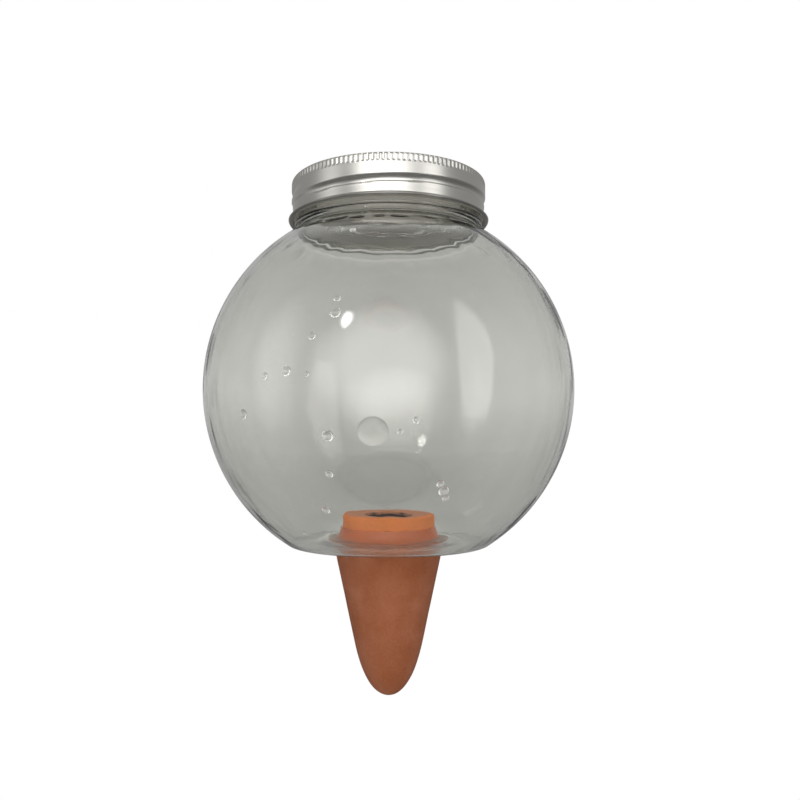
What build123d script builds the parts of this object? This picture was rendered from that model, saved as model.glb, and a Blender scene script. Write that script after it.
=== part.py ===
from build123d import *
import os
from math import atan2, cos, degrees, radians, sin, sqrt

# Watering globe: a clear jar with a screw lid and a hollow clay spike through its base.
# Millimetres, +Z up. The origin is on the axis, in the plane of the jar's foot.

# Globe: a blow-moulded sphere with a flat foot
globe_diameter = 120.0
globe_wall = 0.9
foot_diameter = 61.8  # where the rounded heel meets the flat foot
heel_radius = 3.5
foot_width = 3.6
push_up = 1.0  # how far the floor is raised above the foot
push_up_run = 7.0
floor_thickness = 1.0

# Neck of the globe, plain between the roots of its screw thread
neck_diameter = 60.2
neck_wall = 1.7
shoulder_fillet = 2.0
mouth_round = 6.0
lip_round = 0.5
ring_gap = 0.4  # from the shoulder to the support ring
ring_thickness = 1.2
ring_overhang = 1.2

# Lid: drawn aluminium sheet with a knurled edge, a rolled groove and a curled bead
lid_height = 13.5
lid_sheet = 0.45
lid_gap = 0.35  # between the bead and the support ring
thread_height = 1.1  # of the screw thread on the neck, which the skirt clears
skirt_clearance = 0.65
skirt_step = 0.35  # how much the skirt narrows below the rolled groove
crown_width = 2.0
crown_rise = 0.9
crown_bend_share = 0.4  # of the rise that the sheet leaves for its two bends
groove_drop = 7.6  # from the top of the crown to the middle of the groove
groove_width = 2.2
groove_depth = 0.7
bead_radius = 0.9
bead_curl = 275.0  # degrees
knurl_count = 128
knurl_height = 2.8
knurl_depth = 0.22
knurl_radius = 0.62

# Liner: a foam disc pressed into the lid
liner_thickness = 1.5
liner_clearance = 0.35

# Grommet: a clear rubber collar that seals the spike in the floor of the globe
grommet_waist_wall = 1.3
grommet_lip_width = 3.2
grommet_lip_edge = 0.2
grommet_flare_run = 3.0  # how far the skirt lies along the floor before it rises
grommet_flare_lean = 0.45  # how far the skirt still leans out at the foot of its rise
grommet_flare_foot = 0.6
grommet_collar_top = 0.4
grommet_collar_height = 3.8
grommet_outer_width = 1.2
grommet_outer_height = 0.9
seal_clearance = 0.1

# Spike: one hollow piece of terracotta
spike_neck_diameter = 30.0
spike_neck_rise = 4.1  # of the clay's lip above the grommet
spike_ledge = 3.0
spike_length = 48.5  # from the ledge to the tip
nose_length = 17.6
nose_diameter = 22.4
nose_side_pull = 0.6  # how long the nose keeps the direction of the taper
nose_tip_pull = 1.05  # how blunt the tip is
spike_wall = 5.0
tip_wall = 7.0
spike_bore_diameter = 16.5
spike_mouth_diameter = 25.2
spike_mouth_depth = 0.3  # of the dish round the bore
lip_edge_round = 0.9
ledge_edge_round = 0.45

# The globe's centre, from the tangent circle of the heel
globe_radius = globe_diameter / 2
foot_radius = foot_diameter / 2
globe_centre = heel_radius + sqrt((globe_radius - heel_radius) ** 2 - foot_radius**2)
floor_top = push_up + floor_thickness

# Heights that stack up from the shoulder of the globe to the top of the lid
neck_radius = neck_diameter / 2
bore_radius = neck_radius - neck_wall
shoulder_centre = globe_centre + sqrt(
    (globe_radius + shoulder_fillet) ** 2 - (neck_radius + shoulder_fillet) ** 2
)
ring_bottom = shoulder_centre + ring_gap
ring_top = ring_bottom + ring_thickness
lid_bottom = ring_top + lid_gap
lid_top = lid_bottom + lid_height
panel_top = lid_top - crown_rise
liner_top = panel_top - lid_sheet
neck_top = liner_top - liner_thickness

# Radii that stack outwards from the neck
skirt_radius = neck_radius + thread_height + skirt_clearance + lid_sheet
lower_skirt_radius = skirt_radius - skirt_step
liner_radius = skirt_radius - lid_sheet - liner_clearance

# Radii and heights of the grommet and the spike, from the clay's neck outwards
spike_neck_radius = spike_neck_diameter / 2
grommet_bore = spike_neck_radius + seal_clearance
grommet_waist = grommet_bore + grommet_waist_wall
hole_radius = grommet_waist + seal_clearance
grommet_top = floor_top + grommet_collar_height
grommet_bottom = push_up - grommet_outer_height
spike_top = grommet_top + spike_neck_rise
ledge_height = grommet_bottom
spike_tip = ledge_height - spike_length


def turned(*outline):
    """Turn a closed outline, drawn as (radius, height), about the Z axis."""
    return revolve(Plane.XZ * make_face(outline), Axis.Z)


def polar(centre, radius, angle):
    """The point at an angle, in degrees, on a circle."""
    return (centre[0] + radius * cos(radians(angle)), centre[1] + radius * sin(radians(angle)))


def neck_blend(sphere_radius, tube_radius, blend_radius):
    """Centre of the arc that joins a tube to the sphere, and its angle seen from the sphere's centre."""
    radius = tube_radius + blend_radius
    rise = sqrt((sphere_radius + blend_radius) ** 2 - radius**2)
    return (radius, globe_centre + rise), degrees(atan2(rise, radius))


def globe():
    """The jar: the foot, the heel, the sphere and the neck, all one wall."""
    centre = (0, globe_centre)
    heel = (foot_radius, heel_radius)
    heel_angle = degrees(atan2(heel_radius - globe_centre, foot_radius))
    inner_radius = globe_radius - globe_wall
    shoulder, shoulder_angle = neck_blend(globe_radius, neck_radius, shoulder_fillet)
    mouth, mouth_angle = neck_blend(inner_radius, bore_radius, mouth_round)
    foot_inner = foot_radius - foot_width
    ramp_middle = foot_inner - push_up_run / 2
    floor_edge = foot_inner - push_up_run
    ring_round = ring_thickness / 2
    ring_centre = (neck_radius + ring_overhang - ring_round, ring_bottom + ring_round)
    lip_outer = (neck_radius - lip_round, neck_top - lip_round)
    lip_inner = (bore_radius + lip_round, neck_top - lip_round)
    return turned(
        # Outside, from the hole in the floor to the lip
        Line((hole_radius, push_up), (floor_edge, push_up)),
        Bezier((floor_edge, push_up), (ramp_middle, push_up), (ramp_middle, 0), (foot_inner, 0)),
        Line((foot_inner, 0), (foot_radius, 0)),
        CenterArc(heel, heel_radius, -90, heel_angle + 90),
        CenterArc(centre, globe_radius, heel_angle, shoulder_angle - heel_angle),
        CenterArc(shoulder, shoulder_fillet, shoulder_angle + 180, -shoulder_angle),
        Polyline((neck_radius, shoulder[1]), (neck_radius, ring_bottom), (ring_centre[0], ring_bottom)),
        CenterArc(ring_centre, ring_round, -90, 180),
        Polyline((ring_centre[0], ring_top), (neck_radius, ring_top), (neck_radius, lip_outer[1])),
        CenterArc(lip_outer, lip_round, 0, 90),
        Line((lip_outer[0], neck_top), (lip_inner[0], neck_top)),
        CenterArc(lip_inner, lip_round, 90, 90),
        # Inside, from the lip back to the hole
        Line((bore_radius, lip_inner[1]), (bore_radius, mouth[1])),
        CenterArc(mouth, mouth_round, 180, mouth_angle),
        CenterArc(centre, inner_radius, mouth_angle, heel_angle - mouth_angle),
        CenterArc(heel, heel_radius - globe_wall, heel_angle, -90 - heel_angle),
        Line((foot_radius, globe_wall), (foot_inner, globe_wall)),
        Bezier(
            (foot_inner, globe_wall),
            (ramp_middle, globe_wall),
            (ramp_middle, floor_top),
            (floor_edge, floor_top),
        ),
        Polyline((floor_edge, floor_top), (hole_radius, floor_top), (hole_radius, push_up)),
    )


def sheet_face(depth):
    """One face of the lid's sheet, from its centre to the curl, at a depth below the outside."""
    skirt = skirt_radius - depth
    lower_skirt = lower_skirt_radius - depth
    groove_height = lid_top - groove_drop
    groove_top = groove_height + groove_width / 2
    groove_bottom = groove_height - groove_width / 2
    crown_inner = skirt_radius - crown_width + depth
    # The sheet bends round the crown at one inner radius, so each face has its own
    bend = crown_bend_share * (crown_rise - lid_sheet)
    corners = FilletPolyline(
        (0, panel_top - depth),
        (crown_inner, panel_top - depth),
        (crown_inner, lid_top - depth),
        (skirt, lid_top - depth),
        (skirt, groove_top),
        radius=[bend + depth, bend + lid_sheet - depth, 2 * lid_sheet - depth],
    )
    groove = ThreePointArc(
        (skirt, groove_top), (skirt - groove_depth, groove_height), (lower_skirt, groove_bottom)
    )
    return [corners, groove, Line((lower_skirt, groove_bottom), (lower_skirt, lid_bottom + bead_radius))]


def lid_shell():
    """The lid: a sunk panel in a raised crown, a grooved skirt, a bead curled outwards, and a knurl."""
    bead = (lower_skirt_radius - lid_sheet + bead_radius, lid_bottom + bead_radius)
    hollow = bead_radius - lid_sheet
    curl_end = 180 + bead_curl
    shell = turned(
        *sheet_face(0),
        CenterArc(bead, hollow, 180, bead_curl),
        Line(polar(bead, hollow, curl_end), polar(bead, bead_radius, curl_end)),
        CenterArc(bead, bead_radius, 180, bead_curl),
        *sheet_face(lid_sheet),
        Line((0, panel_top - lid_sheet), (0, panel_top)),
    )
    flute = Cylinder(knurl_radius, knurl_height, align=(Align.CENTER, Align.CENTER, Align.MAX))
    flutes = PolarLocations(skirt_radius + knurl_radius - knurl_depth, knurl_count)
    return shell - [Pos(0, 0, lid_top) * place * flute for place in flutes]


def lid_liner():
    """The foam disc that the lid presses onto the lip of the neck."""
    return Pos(0, 0, neck_top) * Cylinder(
        liner_radius, liner_thickness, align=(Align.CENTER, Align.CENTER, Align.MIN)
    )


def spike_grommet():
    """The rubber collar: a flared skirt inside the globe, a waist in its hole, and a rim below."""
    lip = grommet_waist + grommet_lip_width
    lip_top = floor_top + grommet_lip_edge
    collar_top = grommet_bore + grommet_collar_top
    outer = grommet_waist + grommet_outer_width
    return turned(
        Polyline(
            (grommet_bore, grommet_bottom),
            (outer, grommet_bottom),
            (outer, push_up),
            (grommet_waist, push_up),
            (grommet_waist, floor_top),
            (lip, floor_top),
            (lip, lip_top),
        ),
        Bezier(
            (lip, lip_top),
            (lip - grommet_flare_run, lip_top),
            (collar_top + grommet_flare_lean, floor_top + grommet_flare_foot),
            (collar_top, grommet_top),
        ),
        Polyline((collar_top, grommet_top), (grommet_bore, grommet_top), (grommet_bore, grommet_bottom)),
    )


def nose(radius, height, tip, taper):
    """The rounded end of the clay, from the axis to where its taper starts."""
    return Spline(
        (0, tip),
        (radius, height),
        tangents=[(1, 0), (sin(taper), cos(taper))],
        tangent_scalars=[nose_tip_pull, nose_side_pull],
    )


def spike():
    """The clay: a neck with an open mouth, a ledge under the floor and a tapered, rounded stake."""
    ledge = spike_neck_radius + spike_ledge
    nose_radius = nose_diameter / 2
    nose_height = spike_tip + nose_length
    taper = atan2(ledge - nose_radius, ledge_height - nose_height)
    bore = spike_bore_diameter / 2
    mouth = spike_mouth_diameter / 2
    mouth_bottom = spike_top - spike_mouth_depth
    core_nose = nose_radius - spike_wall / cos(taper)
    # The bore narrows where the wall, measured square to the taper, would grow too thin
    taper_start = nose_height + (bore - core_nose) * (ledge_height - nose_height) / (ledge - nose_radius)
    return turned(
        # Outside, from the tip to the lip
        nose(nose_radius, nose_height, spike_tip, taper),
        FilletPolyline(
            (nose_radius, nose_height),
            (ledge, ledge_height),
            (spike_neck_radius, ledge_height),
            radius=ledge_edge_round,
        ),
        FilletPolyline(
            (spike_neck_radius, ledge_height),
            (spike_neck_radius, spike_top),
            (mouth, spike_top),
            radius=lip_edge_round,
        ),
        # Inside, from the mouth to the bottom of the bore
        Polyline((mouth, spike_top), (bore, mouth_bottom), (bore, taper_start), (core_nose, nose_height)),
        nose(core_nose, nose_height, spike_tip + tip_wall, taper),
        Line((0, spike_tip + tip_wall), (0, spike_tip)),
    )


pieces = {
    "globe": globe(),
    "lid_shell": lid_shell(),
    "lid_liner": lid_liner(),
    "spike": spike(),
    "spike_grommet": spike_grommet(),
}
os.makedirs("parts", exist_ok=True)
for name, piece in pieces.items():
    export_step(piece, f"parts/{name}.step")
    print(f"{name}: {len(piece.solids())} solid, {piece.volume / 1000:.2f} cm3")
print(f"foot to lid {lid_top:.2f}, foot to tip {spike_tip:.2f}, globe centre {globe_centre:.2f}")
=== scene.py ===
# %% [markdown]
# # Watering globe
# A clear plastic jar holds the water, an aluminium lid closes it at the top, and a hollow clay spike goes
# through its base into the soil. Nearly every piece is round about one upright axis, so most of this
# lesson draws half of a piece and spins it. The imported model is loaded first, because it fixes every size
# and place.

from math import atan2, cos, degrees, pi, radians, sin, sqrt, tan

import bmesh
import bpy
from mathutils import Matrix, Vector, geometry, noise


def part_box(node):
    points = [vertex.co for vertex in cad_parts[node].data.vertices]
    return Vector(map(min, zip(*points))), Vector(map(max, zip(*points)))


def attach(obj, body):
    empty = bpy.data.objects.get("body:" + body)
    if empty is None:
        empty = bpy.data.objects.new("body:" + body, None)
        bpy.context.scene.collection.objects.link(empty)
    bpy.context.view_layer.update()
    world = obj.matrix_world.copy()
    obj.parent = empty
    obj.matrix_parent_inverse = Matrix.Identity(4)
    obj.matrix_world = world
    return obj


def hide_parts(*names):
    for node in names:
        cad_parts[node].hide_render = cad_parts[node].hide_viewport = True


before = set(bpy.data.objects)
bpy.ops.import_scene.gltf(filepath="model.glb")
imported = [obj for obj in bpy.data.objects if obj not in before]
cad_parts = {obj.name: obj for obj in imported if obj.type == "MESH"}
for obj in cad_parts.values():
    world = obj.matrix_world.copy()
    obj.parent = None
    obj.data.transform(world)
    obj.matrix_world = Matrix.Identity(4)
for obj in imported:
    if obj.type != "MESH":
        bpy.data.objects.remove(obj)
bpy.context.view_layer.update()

# %% [markdown]
# ## Sizes
# The shapes are drawn in millimetres and scaled to metres once, when they are finished. The outer sizes
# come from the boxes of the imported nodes. Only what a box can't say, such as a wall or a rounding, is
# written here.

# %% Sizes from the frame
mm = 0.001


def extent(node):
    """A node's radius, lowest height and highest height, in millimetres."""
    low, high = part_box(node)
    return high.x / mm, low.z / mm, high.z / mm


globe_radius, _, neck_top = extent("globe")
_, lid_bottom, lid_top = extent("lid_shell")
ledge_radius, spike_tip, spike_top = extent("spike")
grommet_lip, grommet_bottom, grommet_top = extent("spike_grommet")
print(f"globe radius {globe_radius:.2f}, lid top {lid_top:.2f}, spike tip {spike_tip:.2f}")

# %% [markdown]
# ## Camera
# The photograph was taken from close by, a little below the middle of the globe and looking slightly up.
# The far rim of the lid and the near edge of the foot both curve, and that puts it about 26 cm away.

# %% Camera
camera_distance = 258.2
camera_height = 32.8
camera_pitch = 3.22  # degrees above level
focal_length = 35.1
picture_width = 800  # pixels
axis_offset = 11.5  # pixels from the middle of the picture to the globe's axis

camera = bpy.data.objects.new("camera", bpy.data.cameras.new("camera"))
camera.data.lens = focal_length
camera.data.sensor_width = 36.0
camera.data.shift_x = axis_offset / picture_width
camera.data.clip_start = 0.01
camera.location = (0, -camera_distance * mm, camera_height * mm)
camera.rotation_euler = (radians(90 + camera_pitch), 0, 0)
bpy.context.scene.collection.objects.link(camera)
bpy.context.scene.camera = camera
print("camera at", tuple(round(x, 4) for x in camera.location))

# %% [markdown]
# ## A pen for turned pieces
# A potter's template, a lathe and a bottle mould all start from half an outline. This pen draws one: a
# straight run is an extruded vertex, and a round run is that vertex spun about a centre, so Blender's own
# operators place the points. The finished outline is then spun about the upright axis. A Screw modifier
# could spin it too, but a mesh that is already spun lets later cells push single vertices, for a thread
# or a knurl.

# %% The pen
weld = 1e-4  # millimetres within which two vertices are one


class Outline:
    """Half of a turned piece, drawn as radius and height in millimetres."""

    def __init__(self, radius, height):
        self.mesh = bmesh.new()
        self.first = self.mesh.verts.new((radius, 0, height))
        self.last = self.first

    def to(self, radius, height, cuts=1):
        """A straight run, in one or more steps."""
        start, end = self.last.co.copy(), Vector((radius, 0, height))
        for step in range(cuts):
            self.last = bmesh.ops.extrude_vert_indiv(self.mesh, verts=[self.last])["verts"][0]
            self.last.co = start.lerp(end, (step + 1) / cuts)
        return self

    def swing(self, radius, height, angle, steps):
        """A round run about a centre, in degrees, positive from outwards to upwards."""
        spun = bmesh.ops.spin(
            self.mesh,
            geom=[self.last],
            cent=(radius, 0, height),
            axis=(0, -1, 0),
            angle=radians(angle),
            steps=steps,
        )
        self.last = next(part for part in spun["geom_last"] if isinstance(part, bmesh.types.BMVert))
        return self

    def curve(self, leave, arrive, end, steps):
        """A smooth run that leaves towards one point and arrives from another."""
        points = [self.last.co.copy()] + [Vector((r, 0, z)) for r, z in (leave, arrive, end)]
        for point in geometry.interpolate_bezier(*points, steps + 1)[1:]:
            self.to(point.x, point.z)
        return self

    def turn(self, steps, wedges=16):
        """Close the outline and spin it: first one wedge, then copies of that wedge all the way round."""
        axis = {"cent": (0, 0, 0), "axis": (0, 0, 1)}
        wedge = 2 * pi / wedges
        self.mesh.edges.new((self.last, self.first))
        half = self.mesh.verts[:] + self.mesh.edges[:]
        bmesh.ops.spin(self.mesh, geom=half, angle=wedge, steps=steps // wedges, **axis)
        slice_ = self.mesh.verts[:] + self.mesh.edges[:] + self.mesh.faces[:]
        bmesh.ops.spin(
            self.mesh, geom=slice_, angle=2 * pi - wedge, steps=wedges - 1, use_duplicate=True, **axis
        )
        bmesh.ops.remove_doubles(self.mesh, verts=self.mesh.verts[:], dist=weld)
        bmesh.ops.recalc_face_normals(self.mesh, faces=self.mesh.faces[:])
        self.mesh.normal_update()
        return self.mesh


# %% [markdown]
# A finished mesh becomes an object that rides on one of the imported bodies. Its edges are smooth up to a
# crease of 40 degrees, so that rounded runs shade softly and real corners stay sharp.


# %% Finished pieces
def finish_piece(name, mesh, body, slot, material, *nodes):
    """Scale a mesh to metres and make it a smooth object that rides on a body."""
    crease = radians(40)
    bmesh.ops.scale(mesh, vec=(mm, mm, mm), verts=mesh.verts[:])
    for face in mesh.faces:
        face.smooth = True
    for edge in mesh.edges:
        edge.smooth = edge.calc_face_angle(0) < crease
    data = bpy.data.meshes.new(name)
    mesh.to_mesh(data)
    mesh.free()
    piece = bpy.data.objects.new(name, data)
    bpy.context.scene.collection.objects.link(piece)
    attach(piece, body)
    if nodes:
        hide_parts(*nodes)
    data.materials.append(material)
    print(f"{name}: {len(data.polygons)} faces")
    return piece


# %% [markdown]
# ## Materials
# Each finish starts from what the real one is. One function turns a hex colour into the linear values
# that shaders use, and another adds a node with its settings and links. Patterns read Object coordinates,
# which are metres here, so a scale is one over a real size.


# %% Colours and nodes
def linear(code):
    """A hex sRGB colour as linear red, green, blue and alpha."""
    parts = [int(code[i : i + 2], 16) / 255 for i in (1, 3, 5)]
    return [p / 12.92 if p <= 0.04045 else ((p + 0.055) / 1.055) ** 2.4 for p in parts] + [1.0]


def add(tree, kind, inputs=None, **settings):
    """Add a node, set its properties, and fill each input with a value or a link."""
    made = tree.nodes.new(kind)
    for name, value in settings.items():
        setattr(made, name, value)
    for name, value in (inputs or {}).items():
        if isinstance(value, bpy.types.NodeSocket):
            tree.links.new(value, made.inputs[name])
        else:
            made.inputs[name].default_value = value
    return made


def new_material(name):
    """An empty material, its node tree, and the Object coordinates that its patterns read."""
    material = bpy.data.materials.new(name)
    material.use_nodes = True
    tree = material.node_tree
    tree.nodes.clear()
    place = add(tree, "ShaderNodeTexCoord").outputs["Object"]
    return material, tree, place


def finish_material(material, shader):
    """Connect a shader to the material's output."""
    tree = material.node_tree
    add(tree, "ShaderNodeOutputMaterial", {"Surface": shader.outputs[0]})
    print(f"{material.name}: {len(tree.nodes)} nodes")


# %% [markdown]
# ### Clear PET
# The globe is blow-moulded PET, the plastic of drinks bottles. It is clear and glossy with a faint cast,
# and its wall isn't quite even, so reflections waver. With even walls it would pass for glass. A broad
# noise and a tall, narrow one bend the normals by a hair, as plastic does that flowed into a mould. The
# neck is moulded before the rest is blown, so the bump fades out up there, and the foot is scuffed from
# standing about.

# %% Clear PET
wave_size = 24.0
flow_width = 7.0
flow_length = 60.0
flow_share = 0.2
scuff_bottom = 1.0
scuff_top = 4.0
scuff_roughness = 0.16
neck_start = 99.0
neck_end = 102.0
wall_bump = 0.5
neck_bump = 0.08
pet, tree, place = new_material("blow_moulded_clear_pet")
wave = add(
    tree,
    "ShaderNodeTexNoise",
    {"Vector": place, "Scale": 1 / (wave_size * mm), "Detail": 1.0, "Roughness": 0.4},
)
stretch = add(
    tree,
    "ShaderNodeMapping",
    {"Vector": place, "Scale": (1 / (flow_width * mm), 1 / (flow_width * mm), 1 / (flow_length * mm))},
)
flow = add(tree, "ShaderNodeTexNoise", {"Vector": stretch.outputs["Vector"], "Scale": 1.0, "Detail": 1.0})
thickness = add(
    tree,
    "ShaderNodeMath",
    {0: flow.outputs["Fac"], 1: flow_share, 2: wave.outputs["Fac"]},
    operation="MULTIPLY_ADD",
)
haze = add(
    tree,
    "ShaderNodeMapRange",
    {"Value": wave.outputs["Fac"], "From Min": 0.3, "From Max": 0.7, "To Min": 0.01, "To Max": 0.035},
)
spot = add(tree, "ShaderNodeSeparateXYZ", {"Vector": place})
scuffed = add(
    tree,
    "ShaderNodeMapRange",
    {
        "Value": spot.outputs["Z"],
        "From Min": scuff_bottom * mm,
        "From Max": scuff_top * mm,
        "To Min": scuff_roughness,
        "To Max": haze.outputs["Result"],
    },
)
even_neck = add(
    tree,
    "ShaderNodeMapRange",
    {
        "Value": spot.outputs["Z"],
        "From Min": neck_start * mm,
        "From Max": neck_end * mm,
        "To Min": wall_bump,
        "To Max": neck_bump,
    },
)
uneven = add(
    tree,
    "ShaderNodeBump",
    {
        "Height": thickness.outputs["Value"],
        "Strength": even_neck.outputs["Result"],
        "Distance": 1.0 * mm,
    },
)
shader = add(
    tree,
    "ShaderNodeBsdfPrincipled",
    {
        "Base Color": linear("#F0F0EC"),
        "Transmission Weight": 1.0,
        "IOR": 1.575,
        "Roughness": scuffed.outputs["Result"],
        "Normal": uneven.outputs["Normal"],
    },
)
finish_material(pet, shader)

# %% [markdown]
# ### Aluminium sheet
# The lid is drawn and rolled from thin bright aluminium. Rolling and spinning leave fine lines round the
# axis, so the roughness varies quickly with height and hardly at all round the lid. The curled bead at
# the bottom is painted a darker grey: this is painted shade on the underside of the lid's rim.

# %% Aluminium
line_spacing = 0.35  # coarser than real rolling lines, so that they show
line_length = 25.0
bead_shade_below = 1.0  # above the bottom of the lid, as the next one is
bead_shade_end = 1.7
aluminium, tree, place = new_material("rolled_aluminium_sheet")
stretch = add(
    tree,
    "ShaderNodeMapping",
    {"Vector": place, "Scale": (1 / (line_length * mm), 1 / (line_length * mm), 1 / (line_spacing * mm))},
)
lines = add(
    tree,
    "ShaderNodeTexNoise",
    {"Vector": stretch.outputs["Vector"], "Scale": 1.0, "Detail": 2.0},
)
gloss = add(
    tree,
    "ShaderNodeMapRange",
    {"Value": lines.outputs["Fac"], "From Min": 0.3, "From Max": 0.7, "To Min": 0.28, "To Max": 0.34},
)
fine = add(
    tree, "ShaderNodeBump", {"Height": lines.outputs["Fac"], "Strength": 0.12, "Distance": 0.03 * mm}
)
spot = add(tree, "ShaderNodeSeparateXYZ", {"Vector": place})
out_of_bead_shade = add(
    tree,
    "ShaderNodeMapRange",
    {
        "Value": spot.outputs["Z"],
        "From Min": (lid_bottom + bead_shade_below) * mm,
        "From Max": (lid_bottom + bead_shade_end) * mm,
    },
)
# Painted shade: the curled bead at the bottom of the lid is painted a darker grey than the rest of the
# sheet.
bead_painted_shade = add(
    tree,
    "ShaderNodeMix",
    {0: out_of_bead_shade.outputs["Result"], 6: linear("#A5A39D"), 7: linear("#D4D2CC")},
    data_type="RGBA",
)
shader = add(
    tree,
    "ShaderNodeBsdfPrincipled",
    {
        "Base Color": bead_painted_shade.outputs[2],
        "Metallic": 1.0,
        "Roughness": gloss.outputs["Result"],
        "Normal": fine.outputs["Normal"],
    },
)
finish_material(aluminium, shader)

# %% [markdown]
# ### Lacquer
# The inside of such a lid is coated, so that wet metal doesn't corrode. It is a thin pale lacquer, half
# matt. A coat hides the metal, so it is a material of its own and not a tint of the aluminium.

# %% Lacquer
drag_size = 6.0
lacquer, tree, place = new_material("pale_can_lacquer")
drag = add(tree, "ShaderNodeTexNoise", {"Vector": place, "Scale": 1 / (drag_size * mm), "Detail": 2.0})
sheen = add(
    tree,
    "ShaderNodeMapRange",
    {"Value": drag.outputs["Fac"], "From Min": 0.3, "From Max": 0.7, "To Min": 0.45, "To Max": 0.6},
)
shader = add(
    tree,
    "ShaderNodeBsdfPrincipled",
    {"Base Color": linear("#D9D6CF"), "Roughness": sheen.outputs["Result"], "IOR": 1.5},
)
finish_material(lacquer, shader)

# %% [markdown]
# ### Terracotta
# The spike is unglazed fired clay. It is matt and porous, with fine grit and soft blotches of lighter and
# darker orange. Below the floor of the globe the clay is painted dark, as painted shade, and the lip inside
# is painted a light orange, as painted light for the brighter light that falls on it. Height alone tells
# the two apart, so no map of the surface is needed.

# %% Painted light and shade on the clay
blotch_size = 12.0
shade_line = -1.0
shade_line_fade = 1.0
terracotta, tree, place = new_material("unglazed_terracotta")
blotch = add(
    tree, "ShaderNodeTexNoise", {"Vector": place, "Scale": 1 / (blotch_size * mm), "Detail": 3.0}
)
spot = add(tree, "ShaderNodeSeparateXYZ", {"Vector": place})
# Painted light and shade: clay above the shade line is painted light, and clay below it is painted dark.
lip_light_share = add(
    tree,
    "ShaderNodeMapRange",
    {
        "Value": spot.outputs["Z"],
        "From Min": (shade_line - shade_line_fade) * mm,
        "From Max": (shade_line + shade_line_fade) * mm,
    },
    interpolation_type="SMOOTHSTEP",
)
tint = add(
    tree,
    "ShaderNodeMapRange",
    {"Value": blotch.outputs["Fac"], "From Min": 0.35, "From Max": 0.65},
)
# The painted shade on the spike below the floor, in two tones that the blotches mix.
spike_shade_tint = add(
    tree,
    "ShaderNodeMix",
    {0: tint.outputs["Result"], 6: linear("#8C4C28"), 7: linear("#95593C")},
    data_type="RGBA",
)
# The light orange above the shade line is painted light on the lip inside the globe.
clay = add(
    tree,
    "ShaderNodeMix",
    {0: lip_light_share.outputs["Result"], 6: spike_shade_tint.outputs[2], 7: linear("#F08A44")},
    data_type="RGBA",
)

# %% [markdown]
# The flat top of the clay is painted a darker, duller colour, as painted shade on the face that looks up,
# and the hole in it is painted dark brown, as painted shade in the bore, with a ragged edge. Both are
# round, so they are read from the distance to the axis. A noise moves the edge of the painted shade in the
# hole in and out, and below the top the painted shade widens, so that the whole bore is dark.

# %% Top of the clay
top_shade_radius = 13.2
top_shade_end = 14.2
shade_edge_size = 4.0
shade_edge_reach = 5.0
sunk_bottom = 7.8
sunk_top = 9.0
sunk_reach = 4.0
hole_shade_radius = 9.2
hole_shade_end = 10.4
level_place = add(tree, "ShaderNodeVectorMath", {0: place, 1: (1, 1, 0)}, operation="MULTIPLY")
off_axis = add(tree, "ShaderNodeVectorMath", {0: level_place.outputs["Vector"]}, operation="LENGTH")
# Painted shade on the flat top of the clay, inside the top shade radius.
top_shade = add(
    tree,
    "ShaderNodeMapRange",
    {
        "Value": off_axis.outputs["Value"],
        "From Min": top_shade_radius * mm,
        "From Max": top_shade_end * mm,
        "To Min": lip_light_share.outputs["Result"],
        "To Max": 0.0,
    },
)
top_shaded_clay = add(
    tree,
    "ShaderNodeMix",
    {0: top_shade.outputs["Result"], 6: clay.outputs[2], 7: linear("#D08E6A")},
    data_type="RGBA",
)
shade_edge_noise = add(
    tree,
    "ShaderNodeTexNoise",
    {"Vector": level_place.outputs["Vector"], "Scale": 1 / (shade_edge_size * mm)},
)
edge = add(
    tree,
    "ShaderNodeMath",
    {0: shade_edge_noise.outputs["Fac"], 1: shade_edge_reach * mm, 2: off_axis.outputs["Value"]},
    operation="MULTIPLY_ADD",
)
sunk = add(
    tree,
    "ShaderNodeMapRange",
    {
        "Value": spot.outputs["Z"],
        "From Min": sunk_bottom * mm,
        "From Max": sunk_top * mm,
        "To Min": sunk_reach * mm,
        "To Max": 0.0,
    },
)
depth = add(
    tree, "ShaderNodeMath", {0: edge.outputs["Value"], 1: sunk.outputs["Result"]}, operation="SUBTRACT"
)
# Painted shade in the bore: everything inside the ragged edge is painted dark brown.
hole = add(
    tree,
    "ShaderNodeMapRange",
    {
        "Value": depth.outputs["Value"],
        "From Min": hole_shade_radius * mm,
        "From Max": hole_shade_end * mm,
        "To Min": lip_light_share.outputs["Result"],
        "To Max": 0.0,
    },
)
hole_shaded_clay = add(
    tree,
    "ShaderNodeMix",
    {0: hole.outputs["Result"], 6: top_shaded_clay.outputs[2], 7: linear("#3A2A22")},
    data_type="RGBA",
)

# %% [markdown]
# Grit and blotches lighten and darken all of the clay by a few percent, and the grit also pits it. That
# comes last, so that one step covers the painted light and shade on the spike, the top and the hole alike.

# %% Grit and pores
grit_size = 0.8  # coarser than real grit, so that it shows
grit = add(tree, "ShaderNodeTexNoise", {"Vector": place, "Scale": 1 / (grit_size * mm), "Detail": 4.0})
shade = add(
    tree,
    "ShaderNodeMapRange",
    {"Value": blotch.outputs["Fac"], "From Min": 0.3, "From Max": 0.7, "To Min": 0.94, "To Max": 1.06},
)
speck = add(
    tree,
    "ShaderNodeMapRange",
    {"Value": grit.outputs["Fac"], "From Min": 0.25, "From Max": 0.75, "To Min": 0.9, "To Max": 1.08},
)
both = add(
    tree, "ShaderNodeMath", {0: shade.outputs["Result"], 1: speck.outputs["Result"]}, operation="MULTIPLY"
)
mottled = add(
    tree,
    "ShaderNodeVectorMath",
    {0: hole_shaded_clay.outputs[2], "Scale": both.outputs["Value"]},
    operation="SCALE",
)
pores = add(
    tree, "ShaderNodeBump", {"Height": grit.outputs["Fac"], "Strength": 0.35, "Distance": 0.15 * mm}
)
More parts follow.
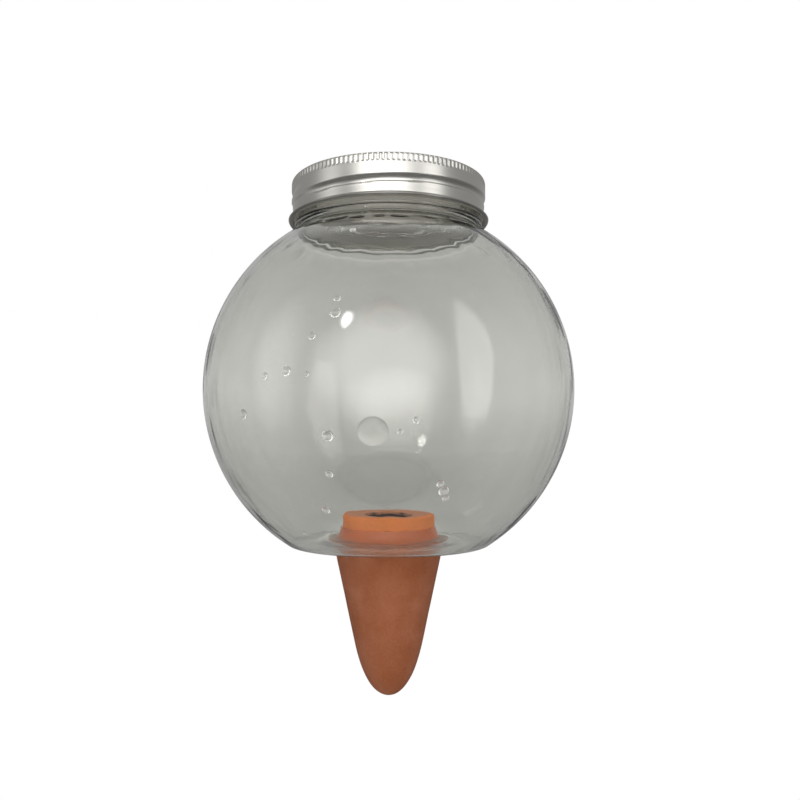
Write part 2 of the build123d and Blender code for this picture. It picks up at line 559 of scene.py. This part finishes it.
shader = add(
    tree,
    "ShaderNodeBsdfPrincipled",
    {
        "Base Color": mottled.outputs["Vector"],
        "Roughness": 0.92,
        "Normal": pores.outputs["Normal"],
    },
)
finish_material(terracotta, shader)

# %% [markdown]
# ### Silicone, foam and water
# The grommet is clear silicone rubber, softly milky. The liner is a disc of white polyethylene foam with
# a fine skin over its cells. Water is clear and perfectly smooth, so it needs no pattern.

# %% Silicone
cloud_size = 5.0
silicone, tree, place = new_material("clear_silicone_rubber")
cloud = add(tree, "ShaderNodeTexNoise", {"Vector": place, "Scale": 1 / (cloud_size * mm), "Detail": 2.0})
milk = add(
    tree,
    "ShaderNodeMapRange",
    {"Value": cloud.outputs["Fac"], "From Min": 0.3, "From Max": 0.7, "To Min": 0.28, "To Max": 0.42},
)
shader = add(
    tree,
    "ShaderNodeBsdfPrincipled",
    {
        "Base Color": linear("#F6E2D0"),
        "Transmission Weight": 1.0,
        "IOR": 1.41,
        "Roughness": milk.outputs["Result"],
    },
)
finish_material(silicone, shader)

# %% Foam and water
cell_size = 0.6  # coarser than the real cells, so that they show
foam, tree, place = new_material("polyethylene_foam")
cells = add(tree, "ShaderNodeTexVoronoi", {"Vector": place, "Scale": 1 / (cell_size * mm)})
skin = add(
    tree, "ShaderNodeBump", {"Height": cells.outputs["Distance"], "Strength": 0.3, "Distance": 0.1 * mm}
)
shader = add(
    tree,
    "ShaderNodeBsdfPrincipled",
    {"Base Color": linear("#F2F0E8"), "Roughness": 0.8, "Normal": skin.outputs["Normal"]},
)
finish_material(foam, shader)

water, tree, place = new_material("water")
shader = add(
    tree,
    "ShaderNodeBsdfPrincipled",
    {"Base Color": linear("#FFFFFF"), "Transmission Weight": 1.0, "IOR": 1.333, "Roughness": 0.0},
)
finish_material(water, shader)

# %% [markdown]
# ## Globe
# On the real jar a hot tube of plastic is blown out against a mould. The wall is one closed skin: foot,
# heel, sphere, shoulder, neck and lip, and back down inside. Glass and clear plastic only look right with
# both faces of the wall, so the outline goes all the way round it before it is spun.

# %% Globe sizes
globe_wall = 0.9
foot_radius = 30.9
heel_radius = 3.5
foot_width = 3.6
push_up = 1.0
push_up_run = 7.0
floor_top = 2.0
hole_radius = 16.5
neck_radius = 30.1
neck_wall = 1.7
shoulder_fillet = 2.0
mouth_round = 6.0
lip_round = 0.5
ring_gap = 0.4
ring_thickness = 1.2
ring_overhang = 1.2

globe_centre = heel_radius + sqrt((globe_radius - heel_radius) ** 2 - foot_radius**2)
heel_angle = degrees(atan2(heel_radius - globe_centre, foot_radius))
bore_radius = neck_radius - neck_wall
inner_radius = globe_radius - globe_wall


def neck_blend(sphere, tube, blend):
    """Where the arc between a tube and the sphere has its centre, and its angle from the globe's centre."""
    radius = tube + blend
    rise = sqrt((sphere + blend) ** 2 - radius**2)
    return radius, globe_centre + rise, degrees(atan2(rise, radius))


shoulder_radius, shoulder_height, shoulder_angle = neck_blend(globe_radius, neck_radius, shoulder_fillet)
mouth_radius, mouth_height, mouth_angle = neck_blend(inner_radius, bore_radius, mouth_round)
ring_bottom = shoulder_height + ring_gap
ring_top = ring_bottom + ring_thickness
ring_round = ring_thickness / 2
ring_edge = neck_radius + ring_overhang - ring_round
foot_inner = foot_radius - foot_width
ramp_middle = foot_inner - push_up_run / 2
floor_edge = foot_inner - push_up_run
lip_height = neck_top - lip_round
print(f"globe centre {globe_centre:.2f}, neck from {shoulder_height:.2f} to {neck_top:.2f}")

# %% Globe outline
wall = Outline(hole_radius, push_up)
wall.to(floor_edge, push_up, cuts=4)
wall.curve((ramp_middle, push_up), (ramp_middle, 0), (foot_inner, 0), steps=10)
wall.to(foot_radius, 0, cuts=3)
wall.swing(foot_radius, heel_radius, heel_angle + 90, steps=10)
wall.swing(0, globe_centre, shoulder_angle - heel_angle, steps=72)
wall.swing(shoulder_radius, shoulder_height, -shoulder_angle, steps=10)
wall.to(neck_radius, ring_bottom)
wall.to(ring_edge, ring_bottom, cuts=2)
wall.swing(ring_edge, ring_bottom + ring_round, 180, steps=10)
wall.to(neck_radius, ring_top, cuts=2)
wall.to(neck_radius, lip_height, cuts=56)
wall.swing(neck_radius - lip_round, lip_height, 90, steps=5)
wall.to(bore_radius + lip_round, neck_top)
wall.swing(bore_radius + lip_round, lip_height, 90, steps=5)
wall.to(bore_radius, mouth_height, cuts=10)
wall.swing(mouth_radius, mouth_height, mouth_angle, steps=10)
wall.swing(0, globe_centre, heel_angle - mouth_angle, steps=72)
wall.swing(foot_radius, heel_radius, -90 - heel_angle, steps=8)
wall.to(foot_inner, globe_wall, cuts=3)
wall.curve((ramp_middle, globe_wall), (ramp_middle, floor_top), (floor_edge, floor_top), steps=10)
wall.to(hole_radius, floor_top, cuts=4)
jar = wall.turn(steps=240)
print("jar:", len(jar.verts), "vertices")

# %% [markdown]
# ## Screw thread
# The neck's thread is moulded in one with the wall, so it is raised from the wall's own rows of vertices:
# each one moves outwards by the height of a rounded ridge that climbs round the neck. The lid's rolled
# groove runs on the same helix half a pitch lower, and so the lid can be unscrewed without touching the
# ridge.

# %% Thread on the neck
thread_pitch = 25.4 / 6  # six turns to the inch
thread_height = 0.8
thread_half_width = 1.0
thread_flank = 1.5
thread_turns = 1.5
thread_first_height = 109.3
thread_fade = 30.0  # degrees
groove_start_angle = -155.0  # degrees about +Z, from +X
groove_start_height = lid_top - 8.2
groove_offset = 0.5  # the middle of the groove lies this far below its helix
on_neck = 0.01
ring_margin = 0.3
lip_margin = 0.1


def ease(value):
    """A smooth step from 0 to 1."""
    value = min(max(value, 0.0), 1.0)
    return value * value * (3 - 2 * value)


def helix_height(angle):
    """The height of the lid's groove at an angle, in degrees about the axis."""
    return groove_start_height + thread_pitch * (angle - groove_start_angle) / 360


def ridge(angle, height):
    """How far the thread stands out of the neck at a place on it."""
    best = 0.0
    for turn in range(-2, 3):
        along = angle + 360 * turn
        centre = helix_height(along) + thread_pitch / 2 - groove_offset
        run = (centre - thread_first_height) / thread_pitch * 360
        fade = ease(run / thread_fade) * ease((thread_turns * 360 - run) / thread_fade)
        across = abs(height - centre) / thread_half_width
        best = max(best, fade * ease(thread_flank - thread_flank * across))
    return thread_height * best


for vert in jar.verts:
    radius, height = vert.co.xy.length, vert.co.z
    if abs(radius - neck_radius) < on_neck and ring_top + ring_margin < height < lip_height - lip_margin:
        lift = ridge(degrees(atan2(vert.co.y, vert.co.x)), height)
        vert.co.xy *= (radius + lift) / radius
print(f"thread: {thread_turns} turns from height {thread_first_height}, pitch {thread_pitch:.3f}")

# %% [markdown]
# ## Uneven wall
# Where the blown sphere meets the stiff neck, the plastic gathers, and its inner face is wavy. Through
# the front of the jar that shows as a ragged line round the mouth. A bump in the material is too weak to
# bend light that much, so a noise moves the inner face itself, in a narrow band. It is set to thicken the
# wall more than thin it.

# %% Uneven wall below the mouth
uneven_depth = 0.45
uneven_size = 4.0
uneven_height = mouth_height - 7.5
uneven_reach = 2.2
uneven_core = 1.2
uneven_radius = bore_radius + 6
thicken = 0.3
for vert in jar.verts:
    if vert.co.xy.length < uneven_radius and vert.normal.xy.dot(vert.co.xy) < 0:
        near = ease(uneven_core - abs(vert.co.z - uneven_height) / uneven_reach)
        vert.co += vert.normal * uneven_depth * near * (thicken + noise.noise(vert.co / uneven_size))
bmesh.ops.recalc_face_normals(jar, faces=jar.faces[:])
globe = finish_piece("globe_wall", jar, "jar", "clear_pet", pet, "globe")
globe.visible_shadow = False

# %% [markdown]
# ## Lid
# The lid is pressed from one disc of sheet: a sunk panel in a raised crown, a skirt, and a bead curled
# outwards at the bottom so that no raw edge is left. A Solidify modifier could thicken a single surface,
# but the curl and the tight bends come out cleaner when the outline goes once round the sheet.

# %% Lid outline
sheet = 0.45
skirt_radius = 32.3
skirt_step = 0.35
step_drop = 0.4
crown_width = 2.0
crown_rise = 0.9
crown_bend = 0.18
bead_radius = 0.9
bead_curl = 275.0
knurl_count = 128
steps_per_flute = 6

panel_top = lid_top - crown_rise
panel_bend = panel_top + crown_bend
crown_inner = skirt_radius - crown_width
outer_bend = crown_bend + sheet
corner_radius = skirt_radius - 2 * sheet
corner_height = lid_top - 2 * sheet
lower_skirt = skirt_radius - skirt_step
bead_centre = lower_skirt - sheet + bead_radius
bead_height = lid_bottom + bead_radius
curl_end = radians(180 + bead_curl)

lid = Outline(0, panel_top)
lid.to(crown_inner - crown_bend, panel_top, cuts=3)
lid.swing(crown_inner - crown_bend, panel_bend, 90, steps=3)
lid.to(crown_inner, lid_top - outer_bend)
lid.swing(crown_inner + outer_bend, lid_top - outer_bend, -90, steps=5)
lid.to(corner_radius, lid_top)
lid.swing(corner_radius, corner_height, -90, steps=6)
lid.to(skirt_radius, bead_height + step_drop, cuts=36)
lid.to(lower_skirt, bead_height)
lid.swing(bead_centre, bead_height, bead_curl, steps=10)
lid.to(bead_centre + bead_radius * cos(curl_end), bead_height + bead_radius * sin(curl_end))
lid.swing(bead_centre, bead_height, -bead_curl, steps=14)
lid.to(skirt_radius - sheet, bead_height + step_drop)
lid.to(skirt_radius - sheet, corner_height, cuts=12)
lid.swing(corner_radius, corner_height, 90, steps=4)
lid.to(crown_inner + outer_bend, lid_top - sheet)
lid.swing(crown_inner + outer_bend, lid_top - outer_bend, 90, steps=3)
lid.to(crown_inner + sheet, panel_bend)
lid.swing(crown_inner - crown_bend, panel_bend, -90, steps=4)
lid.to(0, panel_top - sheet, cuts=3)
cap = lid.turn(steps=knurl_count * steps_per_flute)
print("lid:", len(cap.verts), "vertices")

# %% [markdown]
# ## Knurl and rolled groove
# Three things on the skirt aren't round, or not even in height: the flutes of the knurled edge, the
# groove that climbs with the thread, and the step and slight taper below it. On the real lid small
# rollers press them in. Here each vertex of the skirt moves inwards by as much as the roller would take,
# so the sheet stays whole.

# %% Knurl and rolled groove
knurl_height = 2.8
knurl_depth = 0.22
flute_width = 1.3
flute_flank = 1.5
flute_foot = 6.0
flute_head = 4.0
groove_sink = 1.0
groove_upper = 2.0
groove_lower = 1.0
groove_depth = 1.0
groove_turn = 372.0  # degrees
groove_fade = 28.0  # degrees
step_return = 60.0  # degrees over which the step comes back to its start
step_lead = 0.3
step_run = 0.9
skirt_taper = 0.5
taper_drop = 1.0
bead_margin = 0.2


def roll(angle, height):
    """How far the skirt is rolled in at a place on it: the climbing groove, and the step below it."""
    run = (angle - groove_start_angle) % 360
    depth = 0.0
    for along in (run, run + 360):
        fade = ease(along / groove_fade) * ease((groove_turn - along) / groove_fade)
        above = height - helix_height(groove_start_angle + along) + groove_sink
        side = cos(pi / 2 * min(above / groove_upper, 1)) if above > 0 else ease(1 + above / groove_lower)
        depth = max(depth, groove_depth * fade * side)
    back = ease((run - 360 + step_return) / step_return)
    middle = helix_height(groove_start_angle + run * (1 - back))
    taper_top = middle - taper_drop
    narrow = skirt_taper * ease((taper_top - height) / (taper_top - bead_height))
    step = skirt_step * ease((middle + step_lead - height) / step_run)
    return max(depth, step + narrow)


def flute(angle, height):
    """How deep the knurl is at a place on the skirt."""
    across = abs((angle / 360 * knurl_count + 0.5) % 1 - 0.5) * 2
    down = (lid_top - height) / knurl_height
    ends = ease(flute_foot * (1 - down)) * ease(flute_head * down)
    return knurl_depth * ease(flute_width - flute_flank * across) * ends


for vert in cap.verts:
    radius, height = vert.co.xy.length, vert.co.z
    if radius < corner_radius or height < bead_height + bead_margin:
        continue
    angle = degrees(atan2(vert.co.y, vert.co.x))
    outside = radius > skirt_radius - sheet / 2
    cut = flute(angle, height) if outside or height > lid_top - sheet / 2 else 0.0
    if height < lid_top - knurl_height:
        cut = roll(angle, height)
    vert.co.xy *= (radius - cut) / radius
bmesh.ops.recalc_face_normals(cap, faces=cap.faces[:])
print(f"knurl: {knurl_count} flutes, groove: {groove_turn:.0f} degrees")

# %% [markdown]
# The faces that look inwards or down inside the lid take the lacquer, which is the second material of the
# piece.

# %% Lacquer inside the lid
facing = 0.3
crown_margin = 0.5
for face in cap.faces:
    middle = face.calc_center_median()
    inwards = face.normal.xy.dot(middle.xy) < -facing * middle.xy.length
    skirt_inside = inwards and middle.xy.length > crown_inner + crown_margin and middle.z > bead_height
    panel_inside = face.normal.z < -facing and middle.z > lid_top - knurl_height
    face.material_index = 1 if skirt_inside or panel_inside else 0
lid_piece = finish_piece("lid_sheet", cap, "lid", "lid_aluminium", aluminium, "lid_shell")
lid_piece.data.materials.append(lacquer)

# %% [markdown]
# ## Spike
# The clay is thrown or pressed as one hollow cone, with a neck that stands up inside the globe and a
# ledge that meets the grommet from below. It is closed at the tip and open at the top, and its outline
# goes down the bore as well, because the hole is seen through the globe.

# %% Spike outline
spike_neck = 15.0
nose_length = 17.6
nose_radius = 11.2
nose_side_pull = 0.6
nose_tip_pull = 1.05
spike_wall = 5.0
tip_wall = 7.0
spike_bore = 8.25
spike_mouth = 12.6
mouth_depth = 0.3
lip_edge = 0.9
ledge_edge = 0.675

ledge_height = grommet_bottom
nose_height = spike_tip + nose_length
taper = atan2(ledge_radius - nose_radius, ledge_height - nose_height)
core_radius = nose_radius - spike_wall / cos(taper)
bore_end = nose_height + (spike_bore - core_radius) / tan(taper)
edge_back = Vector((sin(taper), cos(taper))) * ledge_edge
ledge_corner = (ledge_radius, ledge_height)


def nose(outline, radius, tip, outwards):
    """The rounded end of the clay, drawn from the axis or to it."""
    reach = sqrt(radius**2 + (nose_height - tip) ** 2) / 3
    by_tip = (nose_tip_pull * reach, tip)
    by_side = (
        radius - nose_side_pull * reach * sin(taper),
        nose_height - nose_side_pull * reach * cos(taper),
    )
    if outwards:
        outline.curve(by_tip, by_side, (radius, nose_height), steps=24)
    else:
        outline.curve(by_side, by_tip, (0, tip), steps=12)


clay_half = Outline(0, spike_tip)
nose(clay_half, nose_radius, spike_tip, outwards=True)
clay_half.to(ledge_radius - edge_back.x, ledge_height - edge_back.y, cuts=36)
clay_half.curve(ledge_corner, ledge_corner, (ledge_radius - ledge_edge, ledge_height), steps=5)
clay_half.to(spike_neck, ledge_height, cuts=3)
clay_half.to(spike_neck, spike_top - lip_edge, cuts=8)
clay_half.swing(spike_neck - lip_edge, spike_top - lip_edge, 90, steps=6)
clay_half.to(spike_mouth, spike_top, cuts=3)
clay_half.to(spike_bore, spike_top - mouth_depth, cuts=8)
clay_half.to(spike_bore, bore_end, cuts=16)
clay_half.to(core_radius, nose_height, cuts=12)
nose(clay_half, core_radius, spike_tip + tip_wall, outwards=False)
stake = clay_half.turn(steps=160)
print("stake:", len(stake.verts), "vertices")

# %% [markdown]
# Hand-finished clay is never a perfect cone. A low noise moves the surface by less than a tenth of a
# millimetre, mostly inwards so that the spike stays within its size, and the rim of the hole gets a
# ragged edge.

# %% Worn clay
swell = 0.07
swell_size = 7.0
swell_lean = 0.5
for vert in stake.verts:
    vert.co += vert.normal * swell * (noise.noise(vert.co / swell_size) - swell_lean)

ragged = 0.8
ragged_size = 4.5
ragged_lean = 0.2
ragged_radius = spike_mouth - 0.6
ragged_run = 2.0
ragged_bottom = spike_top - mouth_depth - 3
for vert in stake.verts:
    radius = vert.co.xy.length
    if radius < ragged_radius and vert.co.z > ragged_bottom:
        share = min((ragged_radius - radius) / ragged_run, 1)
        way_round = Vector((vert.co.x, vert.co.y, 0)) / ragged_size
        vert.co.xy *= 1 + share * ragged * (noise.noise(way_round) - ragged_lean) / radius
finish_piece("clay_spike", stake, "jar", "terracotta", terracotta, "spike")

# %% [markdown]
# ## Grommet and liner
# A soft collar seals the clay in the floor of the globe: a flat lip and a cone inside, a waist in the
# hole and a rim underneath. It is spun from its own outline, so that its clear rubber is smooth, and it
# bites into the floor by a hair, because two clear surfaces in exactly one place render badly. The foam
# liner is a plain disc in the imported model, and it stays, with a better finish.

# %% Grommet and liner
seal_bore = 14.9
seal_waist = 16.55
seal_rim = 17.6
seal_lip_edge = 0.2
seal_squeeze = 0.05
seal_flare_run = 3.0
seal_flare_lean = 0.45
seal_flare_foot = 0.6
seal_collar_top = 15.5

seal = Outline(seal_bore, grommet_bottom)
seal.to(seal_rim, grommet_bottom, cuts=2)
seal.to(seal_rim, push_up + seal_squeeze, cuts=2)
seal.to(seal_waist, push_up + seal_squeeze)
seal.to(seal_waist, floor_top - seal_squeeze, cuts=2)
seal.to(grommet_lip, floor_top - seal_squeeze, cuts=2)
seal.to(grommet_lip, floor_top + seal_lip_edge)
seal.curve(
    (grommet_lip - seal_flare_run, floor_top + seal_lip_edge),
    (seal_collar_top + seal_flare_lean, floor_top + seal_flare_foot),
    (seal_collar_top, grommet_top),
    steps=18,
)
seal.to(seal_bore, grommet_top)
collar = seal.turn(steps=160)
grommet = finish_piece("seal_grommet", collar, "jar", "clear_silicone", silicone, "spike_grommet")
grommet.visible_shadow = False

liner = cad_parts["lid_liner"]
liner.data.materials.clear()
liner.data.materials.append(foam)

# %% [markdown]
# ## Water beads
# A few beads of water cling to the inside of the globe. A bead is a cap cut from a ball. A small one is
# round and meets the plastic at a steep angle, which gives it a bright lower edge and a dark upper one.
# The large one has spread, so its ball is flattened first. Each is put on the sphere by its direction
# from the camera's side, its height and its width, and its rim rests on the curved wall.

# %% Water beads
beads = [
    (-14, 71, 2.0),
    (-14, 67, 3.0),
    (-20, 61, 2.2),
    (-34, 51, 2.0),
    (-27, 52, 2.8),
    (-21, 51, 1.4),
    (-43, 41, 2.8),
    (-16, 35, 3.0),
    (-17, 25, 2.2),
    (-21, 15, 2.4),
    (-14, 93, 2.0),
    (7, 39, 1.8),
    (3, 36, 1.4),
    (-4, 36, 8.0),
    (15.3, 22.4, 2.2),
    (16.7, 20.5, 3.0),
    (17.9, 18.5, 2.0),
    (-36, 7.6, 1.8),
]
round_lean = radians(68)
flat_lean = radians(84)
flat_share = 0.18
flat_width = 5.0  # a wider bead is flattened
bead_gap = 0.02
cut_reach = 0.01
centre = Vector((0, 0, globe_centre))
bead_mesh = bmesh.new()
for turn, height, width in beads:
    lean, squash = (round_lean, 1.0) if width < flat_width else (flat_lean, flat_share)
    ball_radius = width / 2 / sin(lean)
    sunken = -ball_radius * cos(lean) * squash
    ball = bmesh.ops.create_uvsphere(bead_mesh, u_segments=28, v_segments=32, radius=ball_radius)["verts"]
    bmesh.ops.scale(bead_mesh, vec=(1, 1, squash), verts=ball)
    bmesh.ops.translate(bead_mesh, vec=(0, 0, sunken), verts=ball)
    parts = dict.fromkeys(part for v in ball for part in [v, *v.link_edges, *v.link_faces])
    cut = bmesh.ops.bisect_plane(
        bead_mesh,
        geom=list(parts),
        dist=cut_reach,
        plane_co=(0, 0, 0),
        plane_no=(0, 0, -1),
        clear_outer=True,
    )
    rim = [e for e in cut["geom_cut"] if isinstance(e, bmesh.types.BMEdge)]
    bmesh.ops.edgeloop_fill(bead_mesh, edges=rim)
    dome = [v for v in bead_mesh.verts if v.co.length <= width / 2 + cut_reach]

    rise = height - globe_centre
    reach = sqrt(inner_radius**2 - rise**2)
    on_wall = Vector((reach * sin(radians(turn)), -reach * cos(radians(turn)), rise))
    inward = -on_wall.normalized()
    hollow = (width / 2) ** 2 / (2 * inner_radius)
    turned = inward.to_track_quat("Z", "Y").to_matrix()
    bmesh.ops.rotate(bead_mesh, cent=(0, 0, 0), matrix=turned, verts=dome)
    bmesh.ops.translate(bead_mesh, vec=on_wall + inward * (hollow + bead_gap) + centre, verts=dome)
bmesh.ops.recalc_face_normals(bead_mesh, faces=bead_mesh.faces[:])
drops = finish_piece("water_beads", bead_mesh, "jar", "clear_pet", water)
drops.visible_shadow = False

# %% [markdown]
# ## Studio
# The picture has a plain white ground, so the world is white where the camera looks straight at it. For
# light and reflections it is a grey room, paler behind the object: that gives the lid its grey sides. A
# look through the clear plastic meets a pale grey wall instead of white, because the real plastic dims
# what is behind it, and that wall is a little paler to the sides and darker towards the ceiling. The
# three are told apart by the kind of ray that asks.

# %% The room
room_level = 0.33
backdrop_level = 0.4
low_share = 0.4
world = bpy.data.worlds.new("studio")
bpy.context.scene.world = world
world.use_nodes = True
tree = world.node_tree
tree.nodes.clear()
outlook = add(tree, "ShaderNodeTexCoord")
direction = add(tree, "ShaderNodeSeparateXYZ", {"Vector": outlook.outputs["Generated"]})
room = add(
    tree,
    "ShaderNodeMapRange",
    {
        "Value": direction.outputs["Y"],
        "From Min": 0.6,
        "From Max": 0.95,
        "To Min": room_level,
        "To Max": backdrop_level,
    },
    interpolation_type="SMOOTHSTEP",
)
low = add(
    tree,
    "ShaderNodeMapRange",
    {
        "Value": direction.outputs["Z"],
        "From Min": -0.4,
        "From Max": 0.1,
        "To Min": low_share,
        "To Max": 1.0,
    },
    interpolation_type="SMOOTHSTEP",
)
around = add(
    tree, "ShaderNodeMath", {0: room.outputs["Result"], 1: low.outputs["Result"]}, operation="MULTIPLY"
)

# %% The wall behind the plastic
horizon_level = 0.52
sky_level = 0.63
zenith_level = 0.5
front_level = 0.42
side_share = 1.15


def paler_sides(tree, direction):
    """How much paler the wall is away from its middle, to the left and the right alike."""
    aside = add(tree, "ShaderNodeMath", {0: direction.outputs["X"]}, operation="ABSOLUTE")
    paler = add(
        tree,
        "ShaderNodeMapRange",
        {
            "Value": aside.outputs["Value"],
            "From Min": 0.06,
            "From Max": 0.2,
            "To Min": 1.0,
            "To Max": side_share,
        },
        interpolation_type="SMOOTHSTEP",
    )
    return paler.outputs["Result"]


sky = add(
    tree,
    "ShaderNodeMapRange",
    {
        "Value": direction.outputs["Z"],
        "From Min": -0.02,
        "From Max": 0.07,
        "To Min": horizon_level,
        "To Max": sky_level,
    },
    interpolation_type="SMOOTHSTEP",
)
zenith = add(
    tree,
    "ShaderNodeMapRange",
    {
        "Value": direction.outputs["Z"],
        "From Min": 0.1,
        "From Max": 0.25,
        "To Min": sky_level,
        "To Max": zenith_level,
    },
    interpolation_type="SMOOTHSTEP",
)
far_wall = add(
    tree, "ShaderNodeMath", {0: sky.outputs["Result"], 1: zenith.outputs["Result"]}, operation="MINIMUM"
)
behind = add(
    tree,
    "ShaderNodeMapRange",
    {
        "Value": direction.outputs["Y"],
        "From Min": -0.6,
        "From Max": 0.3,
        "To Min": front_level,
        "To Max": far_wall.outputs["Value"],
    },
    interpolation_type="SMOOTHSTEP",
)
beyond = add(
    tree,
    "ShaderNodeMath",
    {0: behind.outputs["Result"], 1: paler_sides(tree, direction)},
    operation="MULTIPLY",
)

# %% The world
path = add(tree, "ShaderNodeLightPath")
through = add(
    tree,
    "ShaderNodeMix",
    {0: path.outputs["Is Transmission Ray"], 2: around.outputs["Value"], 3: beyond.outputs["Value"]},
    data_type="FLOAT",
)
level = add(
    tree,
    "ShaderNodeMix",
    {0: path.outputs["Is Camera Ray"], 2: through.outputs[0], 3: 1.0},
    data_type="FLOAT",
)
background = add(tree, "ShaderNodeBackground", {"Color": linear("#FFFFFF"), "Strength": level.outputs[0]})
add(tree, "ShaderNodeOutputWorld", {"Surface": background.outputs[0]})
print(f"{world.name}: {len(tree.nodes)} nodes")

# %% [markdown]
# ### Windows
# A curtained window is bright in the middle and fades towards its edges. Each light here is a rectangle
# whose strength falls off from its centre, so its reflection in the globe and the lid has no hard edge.


# %% Windows
def window(name, azimuth, elevation, width, height, level, even=0.15):
    """A soft light a metre away that faces the globe. Its direction is in degrees, its sides in metres."""
    lamp = bpy.data.objects.new(name, bpy.data.lights.new(name, "AREA"))
    lamp.data.shape = "RECTANGLE"
    lamp.data.size = width
    lamp.data.size_y = height
    lamp.data.energy = level * pi * width * height
    lamp.data.use_nodes = True
    tree = lamp.data.node_tree
    tree.nodes.clear()
    place = add(tree, "ShaderNodeNewGeometry").outputs["Parametric"]
    across = add(tree, "ShaderNodeVectorMath", {0: place, 1: (0.5, 0.5, 0)}, operation="SUBTRACT")
    flat = add(
        tree, "ShaderNodeVectorMath", {0: across.outputs["Vector"], 1: (1, 1, 0)}, operation="MULTIPLY"
    )
    out = add(tree, "ShaderNodeVectorMath", {0: flat.outputs["Vector"]}, operation="LENGTH")
    fade = add(
        tree,
        "ShaderNodeMapRange",
        {"Value": out.outputs["Value"], "From Min": even, "From Max": 0.5, "To Min": 1.0, "To Max": 0.0},
        interpolation_type="SMOOTHSTEP",
    )
    glow = add(tree, "ShaderNodeEmission", {"Strength": fade.outputs["Result"]})
    add(tree, "ShaderNodeOutputLight", {"Surface": glow.outputs[0]})
    away = Vector(
        (
            sin(radians(azimuth)) * cos(radians(elevation)),
            -cos(radians(azimuth)) * cos(radians(elevation)),
            sin(radians(elevation)),
        )
    )
    lamp.location = Vector((0, 0, globe_centre * mm)) + away
    lamp.rotation_euler = away.to_track_quat("Z", "Y").to_euler()
    lamp.visible_camera = False
    bpy.context.scene.collection.objects.link(lamp)
    print(f"{name}: {width} by {height} m, {lamp.data.energy:.1f} W")


window("front_window", azimuth=-4, elevation=10, width=1.85, height=1.6, level=2.05)
window("right_window", azimuth=50, elevation=10, width=0.5, height=1.6, level=1.4, even=0.32)
window("left_window", azimuth=-68, elevation=10, width=0.75, height=1.6, level=0.8, even=0.1)
window("top_window", azimuth=180, elevation=60, width=0.9, height=0.9, level=1.2)
window("lamp", azimuth=-28, elevation=34, width=0.15, height=0.24, level=8.0, even=0.3)

# %% [markdown]
# ## Floor
# The object is shown above a plain white floor, far enough below that its shadow falls outside the
# picture. Like the world, it is plain white to the camera, and through the plastic it carries on from the
# grey wall, a little darker as it comes nearer. For all other light it is matt white paper.

# %% Floor
floor_drop = 300.0
floor_radius = 20.0  # metres
near_level = 0.43
ground = bmesh.new()
bmesh.ops.create_circle(ground, cap_ends=True, segments=64, radius=floor_radius)
bmesh.ops.translate(ground, vec=(0, 0, (spike_tip - floor_drop) * mm), verts=ground.verts[:])
floor_data = bpy.data.meshes.new("floor")
ground.to_mesh(floor_data)
ground.free()
floor = bpy.data.objects.new("floor", floor_data)
bpy.context.scene.collection.objects.link(floor)
floor.visible_glossy = False

# %% White paper
paper, tree, place = new_material("white_paper")
matt = add(tree, "ShaderNodeBsdfDiffuse", {"Color": linear("#F2F2F2")})
path = add(tree, "ShaderNodeLightPath")
away = add(tree, "ShaderNodeVectorMath", {0: place}, operation="NORMALIZE")
direction = add(tree, "ShaderNodeSeparateXYZ", {"Vector": away.outputs["Vector"]})
nearer = add(
    tree,
    "ShaderNodeMapRange",
    {
        "Value": direction.outputs["Z"],
        "From Min": -0.06,
        "From Max": 0.0,
        "To Min": near_level,
        "To Max": horizon_level,
    },
)
shaded = add(
    tree,
    "ShaderNodeMath",
    {0: nearer.outputs["Result"], 1: paler_sides(tree, direction)},
    operation="MULTIPLY",
)
level = add(
    tree,
    "ShaderNodeMath",
    {0: shaded.outputs["Value"], 1: path.outputs["Is Camera Ray"]},
    operation="MAXIMUM",
)
white = add(tree, "ShaderNodeEmission", {"Strength": level.outputs["Value"]})
looked_at = add(
    tree,
    "ShaderNodeMath",
    {0: path.outputs["Is Camera Ray"], 1: path.outputs["Is Transmission Ray"]},
    operation="MAXIMUM",
)
shader = add(
    tree,
    "ShaderNodeMixShader",
    {0: looked_at.outputs["Value"], 1: matt.outputs[0], 2: white.outputs[0]},
)
finish_material(paper, shader)
floor_data.materials.append(paper)

# %% [markdown]
# ## Finish
# Standard view keeps colours as they are written.

# %% Finish
bpy.context.scene.view_settings.view_transform = "Standard"
